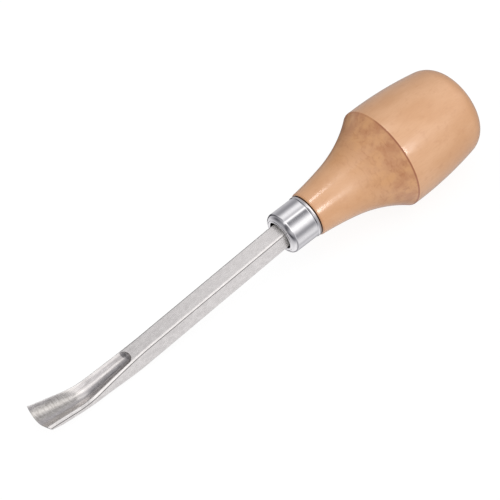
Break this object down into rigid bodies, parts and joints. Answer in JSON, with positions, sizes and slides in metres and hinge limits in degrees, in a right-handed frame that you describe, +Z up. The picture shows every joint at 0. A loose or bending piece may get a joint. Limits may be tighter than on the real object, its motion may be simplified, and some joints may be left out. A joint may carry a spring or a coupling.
{
  "type": "carving gouge",
  "caption": "Palm-handled carving gouge: a square steel shank ends in a shallow, upturned, flared flute; a bright ferrule holds it in a turned wooden handle.",
  "frame": {"origin": "the point where the handle's widest ring touches the bench, with the tool lying at rest, flute up", "axes": "+X towards the cutting edge, parallel to the bench; +Z up from the bench; y = 0 is the plane of symmetry. The handle's axis dips 5.24 degrees towards the cutting edge"},
  "size_m": [0.1628, 0.0342, 0.0347],
  "materials": {
    "blade_steel": "satin ground",
    "ferrule_chrome": "bright plated",
    "handle_wood": "satin lacquer on pale beech",
    "epoxy": "cured, dull"
  },
  "bodies": {
    "root": {"blade": "blade_steel", "ferrule": "ferrule_chrome", "handle": "handle_wood", "tang_adhesive": "epoxy"}
  },
  "joints": []
}
